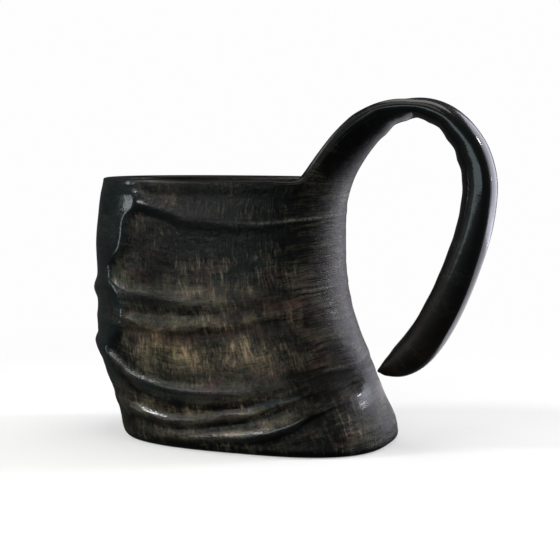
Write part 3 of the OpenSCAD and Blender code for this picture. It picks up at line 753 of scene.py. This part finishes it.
def horn_finish():
    g = Net("polished_horn")
    x, y = g.flow()
    st = g.attr("strat")
    m = g.math
    rake, lay, cross, cut = g.attr("rake"), g.attr("lay"), g.attr("cross"), g.attr("cut")

    def add(*v):
        out = v[0]
        for w_ in v[1:]:
            out = m("ADD", out, w_)
        return out

    def mul(*v):
        out = v[0]
        for w_ in v[1:]:
            out = m("MULTIPLY", out, w_)
        return out

    # broad wander, so that nothing lies in straight lines; one unit of x is 100 mm
    w1 = m("SUBTRACT", g.noise(g.obj(), 48, 2), 0.5)
    w2 = m("SUBTRACT", g.noise(g.obj(), 190, 2), 0.5)
    wx = add(x, mul(w1, 0.060), mul(w2, 0.012))
    # strokes down the cup: bundles of fibre cut open in the hollows, a few of them pale
    s1 = g.noise(g.xyz(mul(wx, 48.0), mul(y, 7.5)), 1.0, 3, 0.62)
    s2 = g.noise(g.xyz(mul(wx, 120.0), mul(y, 17.0), 3.7), 1.0, 3, 0.6)
    s3 = g.noise(g.xyz(mul(wx, 300.0), mul(y, 52.0), 6.1), 1.0, 2, 0.6)
    stroke = g.ramp(add(mul(s1, 0.40), mul(s2, 0.38), mul(s3, 0.22)), 0.40, 0.64)
    pale = mul(g.ramp(s2, 0.54, 0.66), g.ramp(s1, 0.44, 0.60))
    wide_stroke = mul(g.ramp(s1, 0.50, 0.62), g.ramp(g.noise(g.xyz(mul(x, 14.0), mul(y, 12.0), 21.0), 1.0, 2, 0.5), 0.44, 0.60))
    pale = g.t_mix(cross, pale, mul(wide_stroke, 0.62))
    stroke = g.t_mix(mul(cross, 0.6), stroke, wide_stroke)
    # layers across the cup: growth lines that follow the ridges
    l1 = g.noise(g.xyz(mul(x, 5.0), mul(add(st, mul(w1, 0.5)), 6.0), 1.3), 1.0, 4, 0.62)
    l2 = g.noise(g.xyz(mul(x, 10.0), mul(add(st, mul(w2, 0.12)), 24.0), 8.1), 1.0, 3, 0.6)
    l3 = g.noise(g.xyz(mul(x, 16.0), mul(add(st, mul(w2, 0.10)), 13.0), 2.2), 1.0, 2, 0.55)
    line = g.ramp(add(mul(l1, 0.5), mul(l2, 0.5)), 0.40, 0.62)
    thin = mul(g.ramp(l3, 0.455, 0.40), g.ramp(l1, 0.62, 0.42))
    # where the fibres show at all, and cloudy patches
    patch = g.ramp(g.noise(g.xyz(mul(x, 3.6), mul(st, 0.85), 4.4), 1.0, 3, 0.55), 0.38, 0.60)
    blot = g.ramp(g.noise(g.obj(), 105, 5, 0.66), 0.38, 0.62)
    spot = g.ramp(g.noise(g.obj(), 700, 3, 0.62), 0.34, 0.66)
    tint = g.noise(g.xyz(mul(x, 9.0), mul(st, 2.6), 11.7), 1.0, 3, 0.6)
    fine = g.noise(g.obj(), 1500, 2, 0.6)

    open_ = m("MAXIMUM", rake, mul(cross, 0.95))
    tone = add(0.02,
               mul(stroke, open_, add(0.17, mul(patch, 0.23))),
               mul(pale, open_, add(0.11, mul(patch, 0.24))),
               mul(line, m("MAXIMUM", mul(lay, 0.36), 0.16)),
               mul(blot, 0.20), mul(spot, 0.16))
    tone = m("SUBTRACT", tone, mul(thin, add(0.10, mul(m("MAXIMUM", lay, cross), 0.30))))
    cloud = g.noise(g.xyz(mul(x, 4.4), mul(y, 6.5), 15.0), 1.0, 3, 0.55)
    tone = mul(tone, g.ramp(cloud, 0.36, 0.62, 0.55, 1.25))
    tone = add(tone, mul(g.attr("tan"), add(0.02, mul(blot, 0.11), mul(line, 0.06))), mul(g.attr("growth"), add(0.32, mul(spot, 0.45))))
    # dark_and_shade lowers the tone: painted shade under the ridges, along the foot and inside, and darker horn
    # elsewhere
    tone = m("SUBTRACT", tone, mul(g.attr("dark_and_shade"), 0.42), True)

    black = (0.0036, 0.0034, 0.0026)
    green = (0.078, 0.108, 0.052)
    plum = (0.140, 0.062, 0.068)
    grey_tan = (0.168, 0.146, 0.100)
    tan_c = (0.470, 0.335, 0.205)
    rust_c = (0.150, 0.040, 0.036)
    olive_c = (0.240, 0.215, 0.090)
    teal_sheen_c = (0.0080, 0.0140, 0.0148)

    full = g.mix(mul(g.ramp(tint, 0.52, 0.64), 0.75), g.mix(mul(g.ramp(tint, 0.47, 0.36), 0.75), grey_tan, plum), green)
    patchy = g.ramp(g.noise(g.obj(), 62, 3, 0.55), 0.40, 0.58, 0.50, 1.30)
    full = g.mix(m("MULTIPLY", mul(g.attr("tan"), patchy), add(0.35, mul(stroke, 0.40), mul(blot, 0.45)), True), full, tan_c)
    full = g.mix(m("MULTIPLY", g.attr("olive"), add(0.3, mul(blot, 0.6)), True), full, olive_c)
    full = g.mix(m("MULTIPLY", g.attr("rust"), add(0.35, mul(line, 0.6)), True), full, rust_c)
    base = g.mix(m("POWER", tone, 1.35), black, full)
    # the keel and ridge crests take the teal: own tint and painted bluish reflection
    base = g.mix(m("MULTIPLY", g.attr("teal_sheen"), add(0.45, mul(blot, 0.4)), True), base, teal_sheen_c)
    base = g.mix(m("MULTIPLY", g.attr("sleek"), 0.72, True), base, (0.0050, 0.0062, 0.0060))
    base = g.mix(m("MULTIPLY", g.attr("brown"), add(0.25, mul(blot, 0.75)), True), base, (0.0175, 0.0115, 0.0085))
    # painted shade inside the cup
    base = g.mix(m("MULTIPLY", g.attr("inside"), 0.8, True), base, (0.006, 0.005, 0.0045))
    base = g.mix(m("MULTIPLY", g.attr("growth"), add(0.20, mul(spot, 0.50)), True), base, (0.300, 0.285, 0.260))
    g.put(g.b.inputs["Base Color"], base)

    # the bare horn is silky along its fibres; the polish over it is glossy
    bare = m("SUBTRACT", 1.0, m("MAXIMUM", m("MAXIMUM", g.attr("teal_sheen"), g.attr("sleek")), cut), True)
    rough = add(0.20, mul(cross, 0.16), mul(bare, 0.06), mul(bare, stroke, 0.10), mul(fine, 0.06), mul(g.attr("sleek"), 0.10),
                mul(cut, m("SUBTRACT", 1.0, g.attr("sleek"), True), 0.16))
    g.put(g.b.inputs["Roughness"], rough)
    g.b.inputs["IOR"].default_value = 1.54
    g.b.inputs["Specular IOR Level"].default_value = 0.13
    g.put(g.b.inputs["Coat Weight"], add(0.04, mul(g.attr("sleek"), 0.70), mul(g.attr("gloss"), 0.95)))
    g.b.inputs["Coat Roughness"].default_value = 0.08
    g.b.inputs["Coat IOR"].default_value = 1.5
    hgt = mul(add(mul(stroke, open_, 0.7), mul(line, m("MAXIMUM", lay, 0.25), 0.45)), bare, m("SUBTRACT", 1.0, mul(g.attr("gloss"), 0.55), True))
    flat_ = m("SUBTRACT", 1.0, mul(g.attr("gloss"), 0.85), True)
    dents = mul(g.noise(g.obj(), 330, 4, 0.62), add(0.16, mul(bare, flat_, m("SUBTRACT", 0.62, mul(lay, 0.35)))))
    n1 = g.bump(hgt, 0.55, 0.00050)
    n2 = g.bump(dents, 0.45, 0.0011, n1)
    g.put(g.b.inputs["Normal"], n2)
    n3 = g.bump(hgt, 0.25, 0.00035)
    n4 = g.bump(dents, 0.40, 0.0011, n3)
    g.put(g.b.inputs["Coat Normal"], n4)
    return g.mat


def plain(name, colour, rough, coat=0.0):
    g = Net(name)
    n_ = g.noise(g.obj(), 160, 4, 0.6)
    f_ = g.noise(g.obj(), 900, 2, 0.5)
    g.put(g.b.inputs["Base Color"], g.mix(g.ramp(n_, 0.3, 0.7), [c * 0.75 for c in colour], [c * 1.5 for c in colour]))
    g.put(g.b.inputs["Roughness"], g.math("ADD", rough, g.math("MULTIPLY", f_, 0.1)))
    g.b.inputs["IOR"].default_value = 1.54
    g.b.inputs["Coat Weight"].default_value = coat
    g.b.inputs["Coat Roughness"].default_value = 0.1
    g.put(g.b.inputs["Normal"], g.bump(n_, 0.1, 0.0006))
    return g.mat


horn.data.materials.append(horn_finish())
plug.data.materials.append(plain("plug_horn", (0.009, 0.008, 0.0065), 0.42, 0.2))
bead.data.materials.append(plain("sealant", (0.006, 0.0055, 0.005), 0.18, 0.6))

for ob, node_name, slot_name in ((horn, "horn_body", "polished_horn"), (plug, "base_plug", "plug_horn"), (bead, "seal_bead", "sealant")):
    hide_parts(node_name)
    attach(ob, "root")

# ------------------------------------------------------------------ floor, light, camera
# a round pale floor that turns up into a wall far out; it glows by itself away from the cup
prof = [(0.0, 0.0), (0.25, 0.0), (0.5, 0.0), (0.8, 0.0), (1.2, 0.0), (1.8, 0.0)]
for a_ in np.linspace(0, 90, 10)[1:]:
    prof.append((1.8 + 0.6 * math.sin(math.radians(a_)), 0.6 * (1 - math.cos(math.radians(a_)))))
prof.append((2.4, 3.0))
SEG = 96
fa = np.radians(np.arange(SEG) * 360.0 / SEG)
floor_pts = [[0, 0, 0]] + [[r_ * 1000 * math.cos(u_), r_ * 1000 * math.sin(u_), z_ * 1000] for r_, z_ in prof[1:] for u_ in fa]
floor_f = [(0, 1 + i, 1 + (i + 1) % SEG) for i in range(SEG)]
for r_ in range(len(prof) - 2):
    q0, q1 = 1 + r_ * SEG, 1 + (r_ + 1) * SEG
    floor_f += [(q0 + i, q1 + i, q1 + (i + 1) % SEG, q0 + (i + 1) % SEG) for i in range(SEG)]
floor = build("floor", np.array(floor_pts, float), floor_f)
g = Net("floor_pale")
len_ = g.t.nodes.new("ShaderNodeVectorMath")
len_.operation = "LENGTH"
g.t.links.new(g.obj(), len_.inputs[0])
far_ = g.ramp(len_.outputs["Value"], 0.10, 0.42)
g.put(g.b.inputs["Base Color"], g.mix(far_, (0.62, 0.62, 0.62), (0.0, 0.0, 0.0)))
g.b.inputs["Roughness"].default_value = 1.0
g.b.inputs["Specular IOR Level"].default_value = 0.0
g.b.inputs["Emission Color"].default_value = (1, 1, 1, 1)
g.put(g.b.inputs["Emission Strength"], g.math("ADD", g.math("MULTIPLY", far_, 0.615), 0.37))
floor.data.materials.append(g.mat)
floor.visible_glossy = False
floor.visible_diffuse = False

AZ, EL, DIST = 20.5, 5.8, 0.670
TARGET = Vector((0.0068, 0, 0.0732))
a, e = math.radians(AZ), math.radians(EL)
back = Vector((math.sin(a) * math.cos(e), -math.cos(a) * math.cos(e), math.sin(e)))
cam = bpy.data.cameras.new("camera")
cam.sensor_width = 36
cam.lens = 36 * DIST / (0.4602 * 560 * MM)
cam_ob = bpy.data.objects.new("camera", cam)
bpy.context.scene.collection.objects.link(cam_ob)
cam_ob.location = TARGET + back * DIST
cam_ob.rotation_mode = "QUATERNION"
cam_ob.rotation_quaternion = (-back).to_track_quat("-Z", "Y")
cam.clip_start, cam.clip_end = 0.01, 20
bpy.context.scene.camera = cam_ob


def area(name, loc, aim, size, power, colour=(1, 1, 1), size_y=None):
    l = bpy.data.lights.new(name, "AREA")
    l.energy = power
    l.color = colour
    l.size = size
    if size_y:
        l.shape = "RECTANGLE"
        l.size_y = size_y
    ob = bpy.data.objects.new(name, l)
    bpy.context.scene.collection.objects.link(ob)
    ob.location = loc
    ob.visible_camera = False
    ob.rotation_mode = "QUATERNION"
    ob.rotation_quaternion = (Vector(aim) - Vector(loc)).to_track_quat("-Z", "Y")
    return ob


area("key", (-0.80, -0.42, 0.76), (0, 0, 0.07), 0.18, 5.2)
area("mid_left", (-0.467, -0.747, 0.340), (-0.02, -0.02, 0.02), 0.34, 2.0, (1.0, 0.99, 0.96), size_y=0.12)
area("side_spot", (0.79, 0.51, 0.200), (0.03, -0.02, 0.025), 0.15, 0.95, size_y=0.045)
area("front_band", (0.06, -0.80, 0.165), (0.08, 0, 0.10), 0.80, 1.18, (0.76, 0.93, 1.0), size_y=0.20)
area("floor_glow", (0.26, 0.38, 0.004), (0.26, 0.38, 1.0), 0.46, 0.80, (0.92, 0.91, 1.0), size_y=0.62)
area("front_soft", (-0.10, -0.85, 1.0), (0, 0, 0.07), 0.6, 1.5, (1.0, 0.96, 0.88))
area("left_low", (-0.62, -0.21, 0.12), (0, 0, 0.08), 0.035, 0.21, (0.9, 0.97, 1.0), size_y=0.24)
area("right_back", (0.75, 0.67, 0.28), (0.03, 0, 0.08), 1.60, 8.7, (0.86, 0.86, 1.0), size_y=0.9)
area("back_spot", (0.76, 0.36, 0.66), (0.09, 0, 0.14), 0.09, 3.0)
area("top_soft", (0.10, 0.05, 1.25), (0, 0, 0.05), 0.8, 6.0, (1.0, 0.97, 0.93))
world = bpy.data.worlds.new("studio")
bpy.context.scene.world = world
world.use_nodes = True
bg = world.node_tree.nodes["Background"]
bg.inputs[0].default_value = (0.92, 0.96, 1.0, 1)
bg.inputs[1].default_value = 0.05
bpy.context.scene.view_settings.view_transform = "Standard"
bpy.context.scene.view_settings.look = "None"
